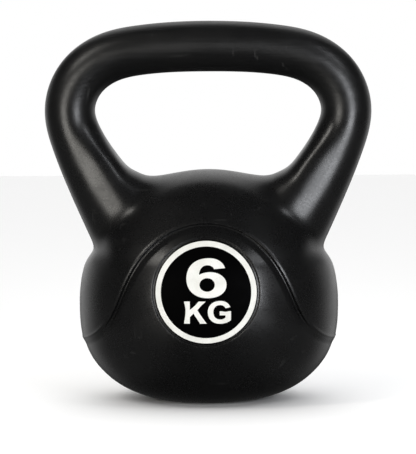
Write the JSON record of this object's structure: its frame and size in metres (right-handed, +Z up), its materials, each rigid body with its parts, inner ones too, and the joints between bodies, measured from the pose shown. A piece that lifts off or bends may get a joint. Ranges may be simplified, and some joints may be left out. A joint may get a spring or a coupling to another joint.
{
  "type": "kettlebell",
  "caption": "Filled plastic kettlebell: round body with a flat foot, wide loop handle on splayed arms, arched shoulder skirt, and a round weight label in a shallow seat on each face.",
  "frame": {"origin": "centre of the object's plan at the floor it stands on", "axes": "+Z up through the grip, +X along the grip to the right seen from the front, the front label faces -Y"},
  "size_m": [0.2096, 0.1414, 0.2422],
  "materials": {
    "shell_plastic": "satin",
    "cast_fill": "matte",
    "plug_plastic": "satin",
    "label_film": "satin",
    "label_print": "satin"
  },
  "bodies": {
    "root": {"shell": "shell_plastic", "ballast": "cast_fill", "filler_plug": "plug_plastic", "front_label": "label_film", "back_label": "label_film"}
  },
  "joints": []
}
